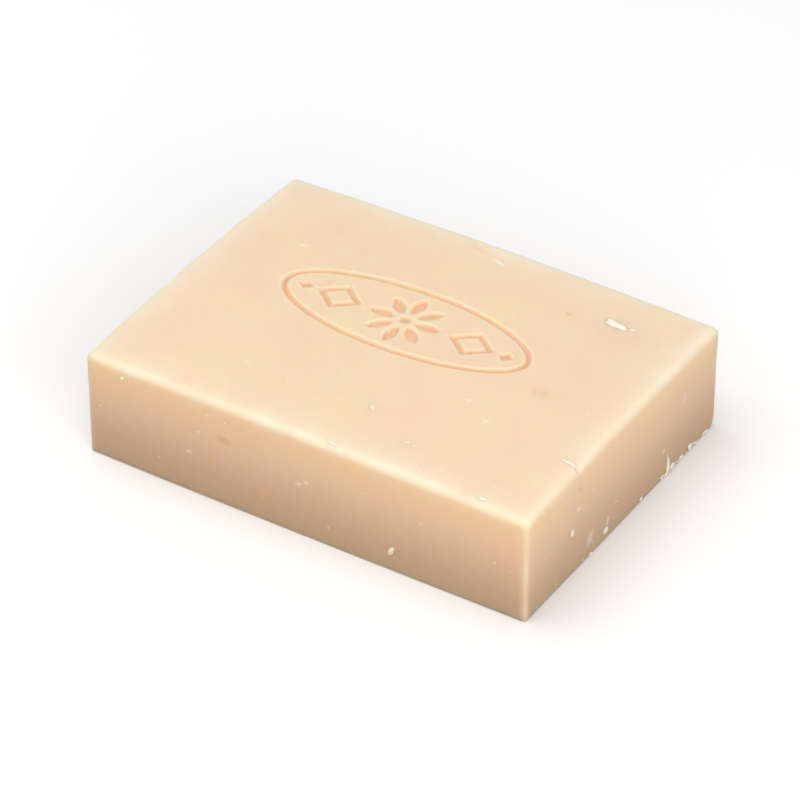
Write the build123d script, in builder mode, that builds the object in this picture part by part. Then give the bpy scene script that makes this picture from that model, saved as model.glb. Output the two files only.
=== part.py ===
from build123d import *
import math
import os

# A hand-cut bar of soap with a pressed ornament, lying on its flat base.
# Millimetres. +Z is up, X runs along the bar, and the origin is the middle of the base.

# Overall size
bar_length = 88.8
bar_width = 65.6
bar_height = 22.0

# How the cut faces swell as the bar dries
side_bow = 0.25  # each long side, at its middle
end_bow = 0.10  # each end, at its middle
crown_along = 0.45  # fall of the top from its middle to each end
crown_across = 0.65  # fall of the top from its middle to each long side

# Edges
top_edge_radius = 1.4
upright_edge_radius = 0.7
base_edge_radius = 0.4
worn_corner = 1.7  # leg of the rubbed-off lower corner at +X +Y
cutting_spare = 1.0  # height left on the block for the crown to be cut from

# Nick in the top edge of the +X end
nick_radius = 1.4
nick_depth = 0.45
nick_y = -15.5

# Pressed ornament
stamp_x = -2.3
stamp_y = 4.0
stamp_depth = 0.7

oval_half_length = 25.0
oval_half_height = 9.6
oval_stroke = 1.2

heart_radius = 1.1
petal_count = 8
petal_inner = 2.0
petal_outer = 7.2
petal_width = 2.4

lozenge_x = 13.5
lozenge_half_length = 4.7
lozenge_half_height = 3.7
lozenge_stroke = 1.2

diamond_x = 20.4
diamond_half_length = 1.6
diamond_half_height = 1.3


def crowned_mass(height):
    """Everything below a shallow crown whose middle stands at the given height.

    The crown is an arc across the bar, carried round a larger arc along it. The arc is
    turned about a level axis far below, starting from the far side of that axis.
    """
    along_radius = ((bar_length / 2) ** 2 + crown_along**2) / (2 * crown_along)
    across_radius = ((bar_width / 2) ** 2 + crown_across**2) / (2 * crown_across)
    axis_height = height - along_radius
    reach = bar_width
    reach_fall = across_radius - math.sqrt(across_radius**2 - reach**2)
    arc_end = axis_height - along_radius + reach_fall
    with BuildPart(mode=Mode.PRIVATE) as mass:
        with BuildSketch(Plane.YZ):
            with BuildLine():
                ThreePointArc(
                    (-reach, arc_end), (0, axis_height - along_radius), (reach, arc_end)
                )
                Polyline(
                    (reach, arc_end), (reach, axis_height), (-reach, axis_height), (-reach, arc_end)
                )
            make_face()
        revolve(axis=Axis((0, 0, axis_height), (0, 1, 0)))
    return mass.part


# ------------------------------------------------------------- one petal, pointing along +X
petal_middle = (petal_inner + petal_outer) / 2
with BuildSketch() as petal:
    with BuildLine():
        ThreePointArc((petal_inner, 0), (petal_middle, petal_width / 2), (petal_outer, 0))
        ThreePointArc((petal_outer, 0), (petal_middle, -petal_width / 2), (petal_inner, 0))
    make_face()

# ------------------------------------------------------ the motifs to the right of the rosette
with BuildSketch() as right_wing:
    with Locations((lozenge_x, 0)):
        Polygon(
            (lozenge_half_length, 0),
            (0, lozenge_half_height),
            (-lozenge_half_length, 0),
            (0, -lozenge_half_height),
        )
        offset(amount=-lozenge_stroke, mode=Mode.SUBTRACT)
    with Locations((diamond_x, 0)):
        Polygon(
            (diamond_half_length, 0),
            (0, diamond_half_height),
            (-diamond_half_length, 0),
            (0, -diamond_half_height),
        )

# ------------------------------------------- the die, whose face is as crowned as the bar's top
with BuildPart() as die:
    with BuildSketch(Plane.XY.offset(bar_height / 2)):
        with Locations((stamp_x, stamp_y)):
            Ellipse(oval_half_length, oval_half_height)
            Ellipse(
                oval_half_length - oval_stroke, oval_half_height - oval_stroke, mode=Mode.SUBTRACT
            )
            Circle(heart_radius)
            add(right_wing.sketch)
            add(right_wing.sketch.mirror(Plane.YZ))
            with PolarLocations(0, petal_count):
                add(petal.sketch)
    extrude(amount=bar_height)
    add(crowned_mass(bar_height - stamp_depth), mode=Mode.SUBTRACT)

# ------------------------------------------------------- the bar's outline, its sides bowed out
corner_x = bar_length / 2 - end_bow
corner_y = bar_width / 2 - side_bow
with BuildSketch() as outline:
    with BuildLine():
        ThreePointArc((-corner_x, -corner_y), (0, -bar_width / 2), (corner_x, -corner_y))
        ThreePointArc((corner_x, -corner_y), (bar_length / 2, 0), (corner_x, corner_y))
        ThreePointArc((corner_x, corner_y), (0, bar_width / 2), (-corner_x, corner_y))
        ThreePointArc((-corner_x, corner_y), (-bar_length / 2, 0), (-corner_x, -corner_y))
    make_face()

# ---------------------------------------------------------------------------------- the bar
with BuildPart() as soap_bar:
    with BuildSketch():
        add(outline.sketch)
    extrude(amount=bar_height + cutting_spare)
    add(crowned_mass(bar_height), mode=Mode.INTERSECT)
    fillet(soap_bar.faces().sort_by(Axis.Z)[-1].edges(), radius=top_edge_radius)
    fillet(soap_bar.faces().sort_by(Axis.Z)[0].edges(), radius=base_edge_radius)

    # The upright edges are eased last, between the mitres where the other edges meet.
    with BuildSketch() as eased_outline:
        add(outline.sketch)
        fillet(eased_outline.vertices(), radius=upright_edge_radius)
    extrude(amount=bar_height + cutting_spare, mode=Mode.INTERSECT)

    # The rubbed-off lower corner is a slanted flat.
    split(
        bisect_by=Plane(origin=(corner_x, corner_y, worn_corner), z_dir=(1, 1, -1)),
        keep=Keep.BOTTOM,
    )

    # The nick is a round bite across the top edge of the +X end.
    edge_middle = top_edge_radius * (1 - math.sqrt(0.5))
    nick_reach = (nick_radius - nick_depth) * math.sqrt(0.5)
    nick_top = bar_height - crown_along - crown_across * (2 * nick_y / bar_width) ** 2
    with Locations(
        (
            bar_length / 2 - edge_middle + nick_reach,
            nick_y,
            nick_top - edge_middle + nick_reach,
        )
    ):
        Sphere(nick_radius, mode=Mode.SUBTRACT)

    add(die.part, mode=Mode.SUBTRACT)

soap_bar.part.label = "soap_bar"
os.makedirs("parts", exist_ok=True)
export_step(soap_bar.part, "parts/soap_bar.step")
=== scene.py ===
"""A hand-cut bar of soap with a pressed ornament, lying on a plain pale floor.

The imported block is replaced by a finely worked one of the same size, with its soft edges, dried
and crowned faces, pressed ornament, pits and stains. Crumbs and shavings cling to it.
Everything is in metres, and MM turns the bar's own millimetres into them.
"""

import math
import random

import bmesh
import bpy
import numpy as np
from mathutils import Matrix, Vector, noise


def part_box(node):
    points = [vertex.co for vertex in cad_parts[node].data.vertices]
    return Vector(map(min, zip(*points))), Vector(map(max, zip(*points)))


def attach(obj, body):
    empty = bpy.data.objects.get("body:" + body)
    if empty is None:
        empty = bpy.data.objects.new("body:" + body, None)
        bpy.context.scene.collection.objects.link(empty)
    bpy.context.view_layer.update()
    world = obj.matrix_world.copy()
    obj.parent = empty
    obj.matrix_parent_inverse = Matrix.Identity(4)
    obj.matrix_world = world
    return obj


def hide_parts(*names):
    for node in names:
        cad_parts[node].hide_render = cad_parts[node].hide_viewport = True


MM = 0.001

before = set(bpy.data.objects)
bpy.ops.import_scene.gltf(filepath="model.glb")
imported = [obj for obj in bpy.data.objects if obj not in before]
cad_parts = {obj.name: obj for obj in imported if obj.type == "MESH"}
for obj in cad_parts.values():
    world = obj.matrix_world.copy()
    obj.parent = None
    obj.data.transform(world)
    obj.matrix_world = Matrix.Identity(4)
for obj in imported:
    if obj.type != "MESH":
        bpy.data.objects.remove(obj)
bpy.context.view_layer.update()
LOW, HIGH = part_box("soap_bar")
SIZE = HIGH - LOW
MIDDLE = (LOW + HIGH) / 2

# Edges, as rounded by the knife and by handling
TOP_EDGE = 1.4 * MM
BACK_EDGE = 1.0 * MM  # the two top edges least handled
UPRIGHT_EDGE = 0.7 * MM
BASE_EDGE = 0.4 * MM
EDGE_STEPS = 6

# The lower corner at +X +Y, rubbed down to a slanted flat
WORN_CORNER = 1.7 * MM
WORN_SOFTNESS = 0.12 * MM

# Bite out of the top edge of the +X end
NICK_RADIUS = 1.4 * MM
NICK_DEPTH = 0.45 * MM
NICK_Y = -15.5 * MM

# How the cut faces swell as the bar dries
SIDE_BOW = 0.25 * MM
END_BOW = 0.10 * MM
CROWN_ALONG = 0.45 * MM
CROWN_ACROSS = 0.65 * MM

# Waves that the knife and drying leave in the faces
LONG_WAVE = 24 * MM
LONG_WAVE_HEIGHT = 0.14 * MM
SHORT_WAVE = 6 * MM
SHORT_WAVE_HEIGHT = 0.05 * MM

RIM_CRUMBS = 17

# How ragged a flake is, its lumps along its length, and how far its place shifts its noise
FLAKE_RAGGEDNESS = 0.5
FLAKE_LUMPS = 3
FLAKE_SHIFT = 900

# Size of the mesh's cells on the plain faces, halved where there is detail
CELL = 0.8 * MM

# Pressed ornament
STAMP_X = -2.3 * MM
STAMP_Y = 4.0 * MM
STAMP_DEPTH = 0.7 * MM
STAMP_WALL = 0.45 * MM
STAMP_LIP = 0.05 * MM

OVAL_HALF = (25.0 * MM, 9.6 * MM)
OVAL_STROKE = 1.2 * MM
HEART_RADIUS = 1.1 * MM
PETAL_COUNT = 8
PETAL_INNER = 2.0 * MM
PETAL_OUTER = 7.2 * MM
PETAL_WIDTH = 2.4 * MM
LOZENGE_X = 13.5 * MM
LOZENGE_HALF = (4.7 * MM, 3.7 * MM)
LOZENGE_STROKE = 1.2 * MM
DIAMOND_X = 20.4 * MM
DIAMOND_HALF = (1.6 * MM, 1.3 * MM)


# ---------------------------------------------------------------------------- places on the bar


def on_top(x, y):
    """A point of the crowned top, in millimetres along and across the bar, and its normal."""
    fall = CROWN_ALONG * (x * MM / HIGH.x) ** 2 + CROWN_ACROSS * (y * MM / HIGH.y) ** 2
    return Vector((x * MM, y * MM, HIGH.z - fall)), Vector((0, 0, 1))


def on_front(x, z):
    """A point of the long side at -Y, in millimetres along and up, and its normal."""
    pull = SIDE_BOW * (x * MM / HIGH.x) ** 2
    return Vector((x * MM, LOW.y + pull, z * MM)), Vector((0, -1, 0))


def on_back(x, z):
    """A point of the long side at +Y, in millimetres along and up, and its normal."""
    pull = SIDE_BOW * (x * MM / HIGH.x) ** 2
    return Vector((x * MM, HIGH.y - pull, z * MM)), Vector((0, 1, 0))


def on_end(y, z):
    """A point of the end at +X, in millimetres across and up, and its normal."""
    pull = END_BOW * (y * MM / HIGH.y) ** 2
    return Vector((HIGH.x - pull, y * MM, z * MM)), Vector((1, 0, 0))


def on_far_end(y, z):
    """A point of the end at -X, in millimetres across and up, and its normal."""
    pull = END_BOW * (y * MM / HIGH.y) ** 2
    return Vector((LOW.x + pull, y * MM, z * MM)), Vector((-1, 0, 0))


def lying(spot, turn=0.0):
    """The matrix that lays something on the bar: Z points outwards and X is turned by degrees."""
    point, outward = spot
    up = Vector((0, 1, 0)) if abs(outward.z) > 0.5 else Vector((0, 0, 1))
    stand = Matrix((up.cross(outward), up, outward)).transposed().to_4x4()
    return Matrix.Translation(point) @ stand @ Matrix.Rotation(math.radians(turn), 4, "Z")


# Orange stains: a spot, half a length and half a width in millimetres, a turn and a strength
STAINS = (
    (on_top(-2.5, 29.7), 2.4, 0.6, -12, 0.45),
    (on_top(20.7, 21.1), 0.7, 0.6, 0, 0.7),
    (on_top(28.3, -1.6), 2.2, 1.3, 20, 0.35),
    (on_top(-20, 6), 1.8, 0.8, 60, 0.25),
    (on_front(-15.6, 14.3), 1.7, 0.9, -10, 0.75),
    (on_front(-18.1, 9.0), 1.2, 1.0, 0, 0.4),
    (on_front(-28.7, 10.8), 1.2, 0.8, 30, 0.4),
    (on_front(-7.7, 5.6), 1.3, 0.8, -30, 0.6),
    (on_end(-15.5, 17.4), 0.7, 0.7, 0, 0.6),
    (on_end(14.2, 2.4), 1.3, 0.7, 70, 0.5),
    (on_back(24, 15), 1.6, 0.9, 10, 0.6),
    (on_back(-12, 8), 1.1, 0.9, 40, 0.5),
    (on_far_end(-9, 13), 1.4, 0.8, -20, 0.6),
)

# Pale marks, given in the same way
BLOOMS = (
    (on_top(2.2, 28.0), 1.8, 0.5, -15, 0.7),
    (on_top(19.4, -10.0), 0.5, 0.5, 0, 0.8),
    (on_top(24.6, -13.3), 0.6, 0.5, 0, 0.7),
    (on_top(-18.5, -20.7), 0.6, 0.4, 30, 0.7),
    (on_top(-30, 14), 0.7, 0.5, 30, 0.5),
    (on_front(-0.5, 11.1), 0.8, 0.4, 20, 0.6),
    (on_front(1.1, 12.1), 0.5, 0.4, 0, 0.8),
    (on_front(-22.9, 8.9), 0.8, 0.4, 10, 0.6),
    (on_front(24, 13), 0.5, 0.4, 0, 0.4),
    (on_end(13.6, 6.3), 0.6, 0.5, 0, 0.6),
    (on_end(20.7, 13.3), 1.0, 0.6, 40, 0.4),
    (on_end(-11.7, 4.1), 1.6, 0.9, 60, 0.5),
    (on_end(-5.7, 3.9), 0.5, 1.2, 0, 0.5),
    (on_back(-27, 12), 1.4, 0.6, 15, 0.6),
    (on_back(8, 16), 0.6, 0.5, 0, 0.7),
    (on_far_end(14, 8), 1.0, 0.5, 50, 0.6),
)

# White flakes: a spot, a length, width and thickness in millimetres, a turn and a yellowness
FLAKES = (
    (on_top(29.2, 22.8), (4.6, 1.5, 0.5), -4, 0.0),
    (on_top(32.3, 22.9), (0.9, 0.5, 0.3), 20, 0.1),
    (on_top(6.4, -20.2), (1.9, 0.8, 0.35), -55, 0.6),
    (on_top(16.4, -25.1), (1.3, 0.7, 0.3), 0, 0.6),
    (on_top(17.9, -25.4), (0.7, 0.5, 0.25), 0, 0.5),
    (on_top(-18.5, -20.7), (0.6, 0.4, 0.2), 0, 0.3),
    (on_top(34.7, -31.0), (1.6, 0.6, 0.35), 8, 0.1),
    (on_top(31.8, -31.3), (0.8, 0.5, 0.3), 0, 0.8),
    (on_top(5.8, -31.8), (1.9, 0.5, 0.3), -6, 0.1),
    (on_front(-36.6, 18.6), (0.9, 0.7, 0.4), 30, 0.4),
    (on_front(-18.9, 17.9), (0.6, 0.4, 0.25), 20, 0.1),
    (on_front(-15.2, 17.7), (0.5, 0.4, 0.25), 0, 0.1),
    (on_front(-20.8, 13.6), (0.6, 0.3, 0.2), -20, 0.2),
    (on_front(18.0, 4.1), (1.8, 0.9, 0.5), 65, 0.5),
    (on_end(-17.7, 9.1), (1.5, 0.9, 0.4), 75, 0.0),
    (on_end(-15.8, 13.0), (0.8, 0.6, 0.3), 60, 0.3),
    (on_end(-3.1, 6.2), (0.5, 0.4, 0.25), 0, 0.3),
    (on_end(-6.4, 2.2), (1.3, 1.1, 0.6), 40, 0.0),
    (on_end(5.9, 0.8), (0.9, 0.6, 0.4), 30, 0.1),
    (on_end(-11.3, 0.5), (0.8, 0.5, 0.4), 0, 0.3),
    (on_end(20.0, 0.8), (1.3, 0.8, 0.5), 15, 0.1),
    (on_end(23.3, 1.1), (1.5, 0.9, 0.5), -10, 0.1),
    (on_end(16.9, 0.9), (1.4, 0.9, 0.5), 20, 0.0),
    (on_back(-16, 6), (1.5, 0.8, 0.4), 70, 0.2),
    (on_back(30, 9), (0.8, 0.6, 0.3), 0, 0.4),
    (on_far_end(9, 3), (1.3, 0.8, 0.4), 50, 0.1),
    (on_far_end(-18, 15), (0.7, 0.5, 0.3), 0, 0.5),
)


# ------------------------------------------------------------------------------------- numbers


def smooth_step(low, high, values):
    """0 below low, 1 above high and an S-curve between, for an array."""
    part = np.clip((values - low) / (high - low), 0, 1)
    return part * part * (3 - 2 * part)


def lumps(points, size, seed):
    """Smooth noise between about -1 and 1 with lumps of the given size, for rows of points."""
    shift = Vector((17.3, 5.1, 9.7)) * seed
    return np.array([noise.noise(Vector(point) / size + shift) for point in points])


# ------------------------------------------------------------------- the ornament, as distances


def distance_to_disc(x, y, radius):
    return np.hypot(x, y) - radius


def distance_to_oval(x, y, half):
    """Close to the true distance near the line of an upright oval, below 0 inside it."""
    level = np.hypot(x / half[0], y / half[1])
    slope = np.hypot(x / half[0] ** 2, y / half[1] ** 2) / np.maximum(level, 1e-6)
    return (level - 1) / np.maximum(slope, 1e-6)


def distance_to_polygon(x, y, corners):
    """Below 0 inside a convex outline whose corners run anticlockwise."""
    furthest = np.full(len(x), -1.0)
    for (ax, ay), (bx, by) in zip(corners, corners[1:] + corners[:1]):
        length = math.hypot(bx - ax, by - ay)
        outward = ((x - ax) * (by - ay) - (y - ay) * (bx - ax)) / length
        furthest = np.maximum(furthest, outward)
    return furthest


def distance_to_lozenge(x, y, half):
    return distance_to_polygon(x, y, [(half[0], 0), (0, half[1]), (-half[0], 0), (0, -half[1])])


def distance_to_petal(x, y):
    """A petal along +X is the overlap of two large discs."""
    half_length = (PETAL_OUTER - PETAL_INNER) / 2
    half_width = PETAL_WIDTH / 2
    radius = (half_length**2 + half_width**2) / (2 * half_width)
    from_middle = x - (PETAL_INNER + PETAL_OUTER) / 2
    upper = np.hypot(from_middle, y - (half_width - radius)) - radius
    lower = np.hypot(from_middle, y + (half_width - radius)) - radius
    return np.maximum(upper, lower)


def distance_to_ornament(x, y):
    """Distance from the pressed outline on the top, below 0 inside it."""
    x = x - STAMP_X
    y = y - STAMP_Y
    nearest = distance_to_disc(x, y, HEART_RADIUS)
    for step in range(PETAL_COUNT):
        turn = 2 * math.pi * step / PETAL_COUNT
        along = x * math.cos(turn) + y * math.sin(turn)
        aside = y * math.cos(turn) - x * math.sin(turn)
        nearest = np.minimum(nearest, distance_to_petal(along, aside))

    # The rest is the same to the left and right, and above and below.
    x = np.abs(x)
    y = np.abs(y)
    outline = distance_to_lozenge(x - LOZENGE_X, y, LOZENGE_HALF) + LOZENGE_STROKE / 2
    nearest = np.minimum(nearest, np.abs(outline) - LOZENGE_STROKE / 2)
    nearest = np.minimum(nearest, distance_to_lozenge(x - DIAMOND_X, y, DIAMOND_HALF))
    oval = distance_to_oval(x, y, OVAL_HALF) + OVAL_STROKE / 2
    return np.minimum(nearest, np.abs(oval) - OVAL_STROKE / 2)


# ------------------------------------------------------------------------------------- the bar


def rounded_block():
    """The plain block, its edges rounded by a bevel that is widest along the top."""
    bm = bmesh.new()
    bmesh.ops.create_cube(bm, size=1.0)
    bmesh.ops.scale(bm, vec=SIZE, verts=bm.verts)
    bmesh.ops.translate(bm, vec=MIDDLE, verts=bm.verts)
    weights = bm.edges.layers.float.new("bevel_weight_edge")
    for edge in bm.edges:
        low, high = sorted(vert.co.z for vert in edge.verts)
        radius = UPRIGHT_EDGE
        if low > MIDDLE.z:
            middle = (edge.verts[0].co + edge.verts[1].co) / 2
            at_the_back = middle.x < LOW.x / 2 or middle.y > HIGH.y / 2
            radius = BACK_EDGE if at_the_back else TOP_EDGE
        if high < MIDDLE.z:
            radius = BASE_EDGE
        edge[weights] = radius / TOP_EDGE
    mesh = bpy.data.meshes.new("block")
    bm.to_mesh(mesh)
    bm.free()

    block = bpy.data.objects.new("block", mesh)
    bpy.context.scene.collection.objects.link(block)
    bevel = block.modifiers.new("bevel", "BEVEL")
    bevel.limit_method = "WEIGHT"
    bevel.width = TOP_EDGE
    bevel.segments = EDGE_STEPS
    depsgraph = bpy.context.evaluated_depsgraph_get()
    rounded = bpy.data.meshes.new_from_object(block.evaluated_get(depsgraph))
    bpy.data.objects.remove(block)
    return rounded


def cut_along(bm, axis, spacing):
    """Cuts every long edge that runs along one axis into equal steps."""
    long_edges = []
    for edge in bm.edges:
        span = edge.verts[1].co - edge.verts[0].co
        if abs(span[axis]) > SIZE[axis] / 2:
            long_edges.append(edge)
    cuts = round(SIZE[axis] / spacing) - 1
    bmesh.ops.subdivide_edges(bm, edges=long_edges, cuts=cuts, use_grid_fill=True)


def refine(bm, wanted):
    """Halves the faces whose middles the given test wants."""
    bm.faces.index_update()
    middles = np.array([face.calc_center_median() for face in bm.faces])
    hit = wanted(middles)
    edges = [edge for edge in bm.edges if any(hit[face.index] for face in edge.link_faces)]
    bmesh.ops.subdivide_edges(bm, edges=edges, cuts=1, use_grid_fill=True)


def near_marks(middles):
    """True for cells that a stain, a pale mark, the nick or the worn corner may cross."""
    near = np.zeros(len(middles), dtype=bool)
    for spot, half_length, half_width, turn, strength in STAINS + BLOOMS:
        away = np.linalg.norm(middles - np.array(spot[0]), axis=1)
        near |= away < 1.5 * max(half_length, half_width) * MM
    for place, reach in ((nick_centre(), 2.2 * MM), (worn_place(), 2.5 * MM)):
        near |= np.linalg.norm(middles - np.array(place), axis=1) < reach
    return near


def near_ornament(middles):
    """True for cells of the top that the ornament's walls may cross."""
    level = middles[:, 2] > HIGH.z - TOP_EDGE / 10
    distance = distance_to_ornament(middles[:, 0], middles[:, 1])
    return level & (np.abs(distance) < CELL)


def dried(points):
    """The block's points after drying: crowned on top, with bowed sides."""
    shaped = points.copy()
    along = (points[:, 0] / HIGH.x) ** 2
    across = (points[:, 1] / HIGH.y) ** 2
    shaped[:, 0] *= 1 - END_BOW / HIGH.x * across
    shaped[:, 1] *= 1 - SIDE_BOW / HIGH.y * along
    shaped[:, 2] *= 1 - (CROWN_ALONG * along + CROWN_ACROSS * across) / HIGH.z
    return shaped


def hand_cut(points, normals):
    """How far each point stands out or in by the knife's waves; the base stays flat."""
    above_base = 1 - smooth_step(0.05, 0.5, -normals[:, 2])
    waves = lumps(points, LONG_WAVE, 1) * LONG_WAVE_HEIGHT
    waves += lumps(points, SHORT_WAVE, 2) * SHORT_WAVE_HEIGHT
    return waves * above_base


def nick_centre():
    """The middle of the ball that bites into the top edge of the +X end."""
    fall = CROWN_ALONG + CROWN_ACROSS * (NICK_Y / HIGH.y) ** 2
    shift = (NICK_RADIUS - NICK_DEPTH) * math.sqrt(0.5) - TOP_EDGE * (1 - math.sqrt(0.5))
    return Vector((HIGH.x + shift, NICK_Y, HIGH.z - fall + shift))


def nicked(points):
    """Pushes the points inside the nick's ball out to its skin."""
    away = points - np.array(nick_centre())
    distance = np.linalg.norm(away, axis=1)
    inside = distance < NICK_RADIUS
    points[inside] += away[inside] * (NICK_RADIUS / distance[inside] - 1)[:, None]


def worn_place():
    return Vector((HIGH.x - END_BOW, HIGH.y - SIDE_BOW, WORN_CORNER))


def rubbed(points):
    """Brings the lower corner at +X +Y back to its slanted flat, with soft rims."""
    outward = np.array((1.0, 1.0, -1.0)) / math.sqrt(3)
    beyond = (points - np.array(worn_place())) @ outward
    beyond = WORN_SOFTNESS * np.log1p(np.exp(np.clip(beyond / WORN_SOFTNESS, -40, 40)))
    points -= beyond[:, None] * outward


def covered(points, marks):
    """How strongly a list of soft-edged oval marks covers each point, from 0 to 1."""
    cover = np.zeros(len(points))
    for spot, half_length, half_width, turn, strength in marks:
        inverse = np.array(lying(spot, turn).inverted())
        across = points @ inverse[:3, :3].T + inverse[:3, 3]
        level = np.hypot(across[:, 0] / half_length, across[:, 1] / half_width) / MM
        close = np.abs(across[:, 2]) < 1.5 * MM
        cover = np.maximum(cover, strength * close * (1 - smooth_step(0.3, 1.3, level)))
    return cover


def pale_rims(points, normals):
    """How pale the soap is drawn: a wide band along the top's rim, thin lines below."""
    walls = np.sort(np.stack([HIGH.x - np.abs(points[:, 0]), HIGH.y - np.abs(points[:, 1])]), axis=0)
    upward = smooth_step(0.5, 0.95, normals[:, 2])
    top_band = np.exp(-((walls[0] / (3.6 * MM)) ** 1.3))
    side_band = np.exp(-(((HIGH.z - points[:, 2]) / (1.7 * MM)) ** 2))
    upright_line = 0.6 * np.exp(-((walls[1] / (0.8 * MM)) ** 2))
    pale = upward * top_band + (1 - upward) * np.maximum(side_band, upright_line)
    return pale * (0.9 + 0.5 * lumps(points, 5 * MM, 3)) * (normals[:, 2] > -0.5)


def pressed(points, normals):
    """How deep the ornament goes at each point, and how much of its wall is there."""
    distance = distance_to_ornament(points[:, 0], points[:, 1])
    on_top_face = smooth_step(0.8, 0.95, normals[:, 2])
    inside = 1 - smooth_step(-STAMP_WALL, 0.1 * MM, distance)
    lip = np.exp(-(((distance - 0.35 * MM) / (0.3 * MM)) ** 2))
    return (STAMP_DEPTH * inside - STAMP_LIP * lip) * on_top_face, inside * on_top_face


def soap_mesh():
    bm = bmesh.new()
    bm.from_mesh(rounded_block())
    for axis in range(3):
        cut_along(bm, axis, CELL)
    for wanted in (near_ornament, near_ornament, near_marks, near_marks):
        refine(bm, wanted)
    many_sided = [face for face in bm.faces if len(face.verts) > 4]
    bmesh.ops.triangulate(bm, faces=many_sided, quad_method="BEAUTY", ngon_method="BEAUTY")
    bm.normal_update()
    points = np.array([vert.co for vert in bm.verts])
    normals = np.array([vert.normal for vert in bm.verts])

    shaped = dried(points) + hand_cut(points, normals)[:, None] * normals
    depth, inside = pressed(points, normals)
    shaped[:, 2] -= depth
    nicked(shaped)
    rubbed(shaped)
    for vert, place in zip(bm.verts, shaped):
        vert.co = place

    # Masks the finish reads; pressed carries the ornament's inside, which is drawn tan as painted
    # shade
    shading = {
        "pressed": inside,
        "pale": pale_rims(points, normals),
        "stain": covered(points, STAINS),
        "bloom": covered(points, BLOOMS),
    }
    for name, values in shading.items():
        layer = bm.verts.layers.float.new(name)
        for vert, value in zip(bm.verts, values):
            vert[layer] = value
    for face in bm.faces:
        face.smooth = True
    mesh = bpy.data.meshes.new("soap_bar_worked")
    bm.to_mesh(mesh)
    bm.free()
    return mesh


# ---------------------------------------------------------------------------- crumbs and shavings


def add_flake(bm, age_layer, spot, size, turn=0.0, age=0.0, bend=0.0, taper=0.0):
    """Lays a ragged flake on the bar. It may be bent sideways and run out to a point."""
    verts = bmesh.ops.create_icosphere(bm, subdivisions=3, radius=0.5)["verts"]
    unlike = spot[0] * FLAKE_SHIFT
    for vert in verts:
        ragged = 1 + FLAKE_RAGGEDNESS * noise.noise(vert.co * FLAKE_LUMPS + unlike)
        narrow = 1 - taper * (vert.co.x + 0.5)
        thin = math.sqrt(narrow)
        vert.co = Vector((vert.co.x * ragged, vert.co.y * ragged * narrow, vert.co.z * ragged * thin))
        vert.co.y += bend * vert.co.x**2
        vert[age_layer] = age
    sizes = Matrix.Diagonal((size[0] * MM, size[1] * MM, size[2] * MM, 1))
    bmesh.ops.transform(bm, matrix=lying(spot, turn) @ sizes, verts=verts)
    for vert in verts:
        vert.co.z = max(vert.co.z, LOW.z)


def add_rim_crumbs(bm, age_layer):
    """A ragged row of crumbs where the +X end was drawn over the edge of its board."""
    draw = random.Random(5)
    for step in range(RIM_CRUMBS):
        y = draw.uniform(13, 29.5)
        size = (draw.uniform(0.5, 1.1), draw.uniform(0.25, 0.5), draw.uniform(0.2, 0.4))
        add_flake(bm, age_layer, on_end(y, draw.uniform(0.3, 0.9)), size, draw.uniform(-25, 35), 0.1)


def crumb_mesh():
    bm = bmesh.new()
    age_layer = bm.verts.layers.float.new("age")
    for spot, size, turn, age in FLAKES:
        add_flake(bm, age_layer, spot, size, turn, age)
    add_rim_crumbs(bm, age_layer)
    # A curved sliver beside the nick, and a shaving that stands against the +X end
    add_flake(bm, age_layer, on_top(42.2, -15.4), (3.4, 0.5, 0.4), -12, 0.0, bend=-2.2)
    add_flake(bm, age_layer, on_end(15.3, 2.3), (4.4, 1.7, 0.7), 95, 0.0, bend=0.5, taper=0.92)
    for face in bm.faces:
        face.smooth = True
    mesh = bpy.data.meshes.new("crumbs")
    bm.to_mesh(mesh)
    bm.free()
    return mesh


# ------------------------------------------------------------------------------------ materials


class Wire:
    """A shader socket that takes part in Python arithmetic by adding Math nodes."""

    def __init__(self, tree, socket):
        self.tree = tree
        self.socket = socket

    def math(self, operation, first, second):
        node = self.tree.nodes.new("ShaderNodeMath")
        node.operation = operation
        for slot, term in zip(node.inputs, (first, second)):
            if isinstance(term, Wire):
                self.tree.links.new(term.socket, slot)
            else:
                slot.default_value = term
        return Wire(self.tree, node.outputs[0])

    def __add__(self, other):
        return self.math("ADD", self, other)

    def __radd__(self, other):
        return self.math("ADD", other, self)

    def __sub__(self, other):
        return self.math("SUBTRACT", self, other)

    def __rsub__(self, other):
        return self.math("SUBTRACT", other, self)

    def __mul__(self, other):
        return self.math("MULTIPLY", self, other)

    def __rmul__(self, other):
        return self.math("MULTIPLY", other, self)

    def or_more(self, other):
        """The larger of the two at every point."""
        return self.math("MAXIMUM", self, other)


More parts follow.
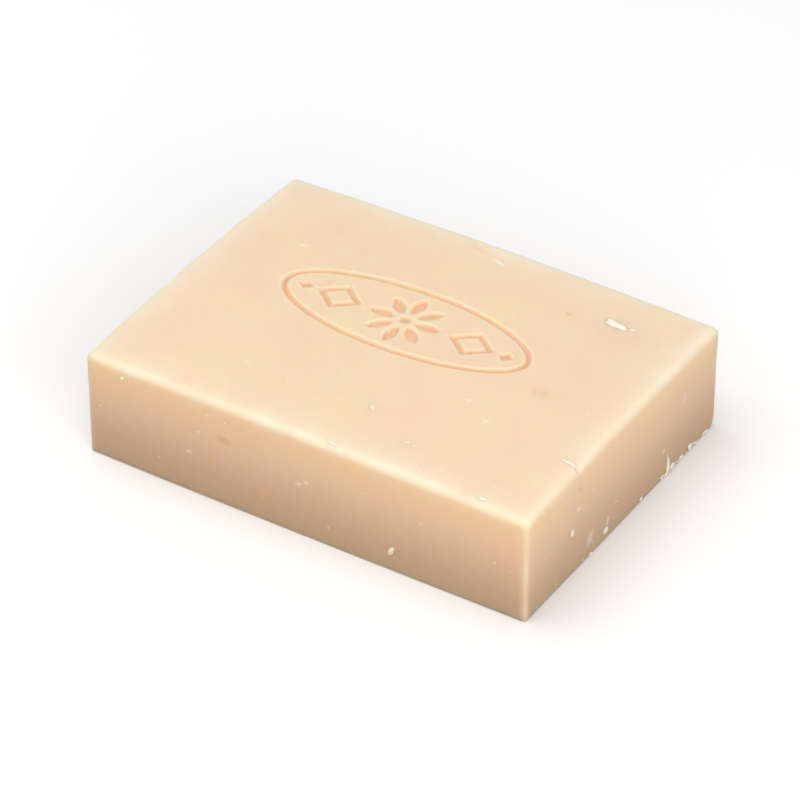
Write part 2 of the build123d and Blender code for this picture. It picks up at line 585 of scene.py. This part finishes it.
class Finish:
    """A material and its node tree while it is being put together."""

    def __init__(self, name):
        self.material = bpy.data.materials.new(name)
        self.material.use_nodes = True
        self.tree = self.material.node_tree
        self.shader = self.tree.nodes["Principled BSDF"]

    def node(self, kind, settings, sockets, output=0):
        """Adds a node: its settings first, then its sockets' values or links."""
        node = self.tree.nodes.new("ShaderNode" + kind)
        for name, value in settings.items():
            setattr(node, name, value)
        self.fill(node, sockets)
        return Wire(self.tree, node.outputs[output])

    def fill(self, node, sockets):
        for name, value in sockets.items():
            if isinstance(value, Wire):
                self.tree.links.new(value.socket, node.inputs[name])
            else:
                node.inputs[name].default_value = value

    def place(self):
        return self.node("TexCoord", {}, {}, "Object")

    def height(self):
        """How high each point lies above the bar's base."""
        return self.node("SeparateXYZ", {}, {"Vector": self.place()}, "Z")

    def specks(self, spacing, radius, kept):
        """1 at the middles of small dots, of which only a share is kept."""
        sockets = {"Scale": 1 / spacing, "Vector": self.place()}
        cells = self.node("TexVoronoi", {}, sockets, "Distance")
        colour = self.node("TexVoronoi", {}, sockets, "Color")
        lot = self.node("SeparateColor", {}, {"Color": colour}, "Red")
        reach = radius / spacing
        return self.between(reach, reach * 0.4, cells) * self.between(1 - kept, 1.02 - kept, lot)

    def attribute(self, name):
        return self.node("Attribute", {"attribute_name": name}, {}, "Fac")

    def noise(self, size, detail=2.0, place=None):
        """Noise with lumps of about the given size, around 0.5."""
        sockets = {"Scale": 1 / size, "Detail": detail, "Vector": place or self.place()}
        return self.node("TexNoise", {}, sockets, "Fac")

    def between(self, low, high, value):
        """0 below low and 1 above high, smoothly."""
        settings = {"interpolation_type": "SMOOTHSTEP"}
        return self.node("MapRange", settings, {"Value": value, "From Min": low, "From Max": high})

    def mix(self, amount, base, other):
        """A colour that goes from base to other as the amount goes from 0 to 1."""
        sockets = {"Factor": amount, 6: base, 7: other}
        return self.node("Mix", {"data_type": "RGBA"}, sockets, 2)

    def bump(self, height, distance, normal=None):
        sockets = {"Height": height, "Distance": distance, "Strength": 1.0}
        if normal:
            sockets["Normal"] = normal
        return self.node("Bump", {}, sockets)


CREAM = (0.93, 0.70, 0.49, 1)
PALE_CREAM = (0.97, 0.86, 0.70, 1)
PINK_CREAM = (0.93, 0.67, 0.48, 1)
YELLOW_CREAM = (0.93, 0.72, 0.46, 1)
# Painted glow: the golden colour of light coming through from the top
PAINTED_GLOW_GOLD = (0.93, 0.71, 0.42, 1)
# Painted shade: the browner, darker colour the soap is drawn in towards its base
PAINTED_BASE_SHADE = (0.60, 0.42, 0.27, 1)
# Painted shade: the tan drawn inside the pressed ornament
PAINTED_RECESS_SHADE = (0.86, 0.52, 0.26, 1)
ORANGE_STAIN = (0.80, 0.50, 0.22, 1)
CHALK = (0.97, 0.93, 0.84, 1)
IVORY = (0.96, 0.86, 0.68, 1)
YELLOWED = (0.97, 0.80, 0.48, 1)


def soap_finish():
    """Cured soap: translucent cream, faintly mottled and paler along its edges, with a painted glow
    below the top and painted shade towards the base and inside the ornament.
    """
    finish = Finish("soap")
    height = finish.height()
    pink = finish.between(0.4, 0.65, finish.noise(9 * MM))
    yellow = finish.between(0.45, 0.7, finish.noise(14 * MM, 3.0))
    colour = finish.mix(pink * 0.7, CREAM, PINK_CREAM)
    colour = finish.mix(yellow * 0.7, colour, YELLOW_CREAM)
    # Painted glow: a golden band on the sides below the top, standing for light coming through the
    # top
    painted_glow = finish.between(12 * MM, 18 * MM, height) * finish.between(20.7 * MM, 19.7 * MM, height)
    colour = finish.mix(painted_glow * 0.7, colour, PAINTED_GLOW_GOLD)
    # Painted shade: darker and browner towards the base, standing in for shade at the foot
    colour = finish.mix(finish.between(19 * MM, 0.0, height), colour, PAINTED_BASE_SHADE)
    # Painted shade: the pressed ornament drawn tan inside, as shade in its recess
    colour = finish.mix(finish.attribute("pressed") * 0.5, colour, PAINTED_RECESS_SHADE)
    colour = finish.mix(finish.attribute("stain"), colour, ORANGE_STAIN)
    colour = finish.mix(finish.attribute("pale") * 0.65, colour, PALE_CREAM)
    specks = finish.specks(3.2 * MM, 0.35 * MM, 0.3)
    white = finish.attribute("bloom").or_more(specks * 0.6)
    colour = finish.mix(white, colour, CHALK)
    roughness = 0.40 + finish.noise(2.5 * MM, 3.0) * 0.16 + white * 0.2
    grain = finish.noise(0.35 * MM, 3.0)
    waviness = finish.noise(5 * MM, 1.0)
    normal = finish.bump(grain * 0.03 + waviness * 0.3 + white * 0.1, 0.3 * MM)
    finish.fill(
        finish.shader,
        {
            "Base Color": colour,
            "Roughness": roughness,
            "Normal": normal,
            "IOR": 1.45,
            "Subsurface Weight": 1.0,
            "Subsurface Radius": (1.0, 0.55, 0.30),
            "Subsurface Scale": 4.0 * MM,
        },
    )
    return finish.material


def crumb_finish():
    """Dry shavings of soap: chalky and rough, some of them yellowed."""
    finish = Finish("dry_crumbs")
    mottle = finish.between(0.4, 0.6, finish.noise(0.5 * MM, 3.0))
    colour = finish.mix(mottle * 0.6, CHALK, IVORY)
    colour = finish.mix(finish.attribute("age"), colour, YELLOWED)
    grain = finish.noise(0.2 * MM, 3.0)
    finish.fill(
        finish.shader,
        {
            "Base Color": colour,
            "Roughness": 0.5 + grain * 0.2,
            "Normal": finish.bump(grain, 0.02 * MM),
            "IOR": 1.45,
        },
    )
    return finish.material


# --------------------------------------------------------------------------------- the surroundings


BLACK = (0, 0, 0, 1)
FLOOR_WHITE = (0.97, 0.97, 0.97, 1)
FLOOR_WARM = (0.40, 0.25, 0.14, 1)
FLOOR_LIFT = 0.04  # glow that only the camera sees


def floor_finish():
    """White where the camera or a reflection sees it, and a warm board to the light it bounces."""
    finish = Finish("floor")
    path = finish.tree.nodes.new("ShaderNodeLightPath")
    seen = Wire(finish.tree, path.outputs["Is Camera Ray"])
    for name in ("Is Glossy Ray", "Is Transmission Ray"):
        seen = seen.or_more(Wire(finish.tree, path.outputs[name]))
    sockets = {"Base Color": finish.mix(seen, FLOOR_WARM, FLOOR_WHITE), "Roughness": 1.0}
    sockets["Specular IOR Level"] = 0.0
    sockets["Emission Color"] = finish.mix(seen, BLACK, FLOOR_WHITE)
    sockets["Emission Strength"] = FLOOR_LIFT
    finish.fill(finish.shader, sockets)
    return finish.material


def add_floor():
    bm = bmesh.new()
    bmesh.ops.create_grid(bm, x_segments=1, y_segments=1, size=3.0)
    mesh = bpy.data.meshes.new("floor")
    bm.to_mesh(mesh)
    bm.free()
    floor = bpy.data.objects.new("floor", mesh)
    bpy.context.scene.collection.objects.link(floor)
    mesh.materials.append(floor_finish())


def direction(azimuth, elevation):
    """The way out from the bar at a compass angle, 0 being towards -Y, and a height."""
    turn = math.radians(azimuth)
    rise = math.radians(elevation)
    return Vector((math.sin(turn) * math.cos(rise), -math.cos(turn) * math.cos(rise), math.sin(rise)))


def add_lamp(name, azimuth, elevation, distance, size, power, colour=(1, 1, 1)):
    light = bpy.data.lights.new(name, "AREA")
    light.shape = "DISK"
    light.size = size
    light.energy = power
    light.color = colour
    lamp = bpy.data.objects.new(name, light)
    out = direction(azimuth, elevation)
    lamp.location = out * distance
    lamp.rotation_euler = out.to_track_quat("Z", "Y").to_euler()
    bpy.context.scene.collection.objects.link(lamp)


def add_light():
    add_lamp("overhead", -70, 70, 1.0, 0.9, 3.6)
    add_lamp("front_fill", 48, 20, 1.0, 0.9, 5.5)
    world = bpy.data.worlds.new("studio")
    world.use_nodes = True
    background = world.node_tree.nodes["Background"]
    background.inputs["Color"].default_value = (1, 1, 1, 1)
    background.inputs["Strength"].default_value = 0.58
    bpy.context.scene.world = world


CAMERA_AZIMUTH = 32.3
CAMERA_ELEVATION = 36.6
CAMERA_TARGET = Vector((-6.4 * MM, 8.8 * MM, 0))
CAMERA_DISTANCE = 0.727
CAMERA_LENS = 184.0


def add_camera():
    data = bpy.data.cameras.new("camera")
    data.lens = CAMERA_LENS
    data.sensor_width = 36.0
    data.clip_start = 0.05
    data.clip_end = 20.0
    camera = bpy.data.objects.new("camera", data)
    back = direction(CAMERA_AZIMUTH, CAMERA_ELEVATION)
    camera.location = CAMERA_TARGET + back * CAMERA_DISTANCE
    camera.rotation_euler = back.to_track_quat("Z", "Y").to_euler()
    bpy.context.scene.collection.objects.link(camera)
    bpy.context.scene.camera = camera


# ---------------------------------------------------------------------------------- putting it up


def add_piece(name, mesh, material):
    mesh.materials.append(material)
    piece = bpy.data.objects.new(name, mesh)
    bpy.context.scene.collection.objects.link(piece)
    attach(piece, "root")
    return piece


def add_soap():
    bar = add_piece("soap_bar_worked", soap_mesh(), soap_finish())
    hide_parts("soap_bar")


add_camera()
add_light()
add_floor()
add_soap()
add_piece("crumbs", crumb_mesh(), crumb_finish())
bpy.context.scene.view_settings.view_transform = "Standard"
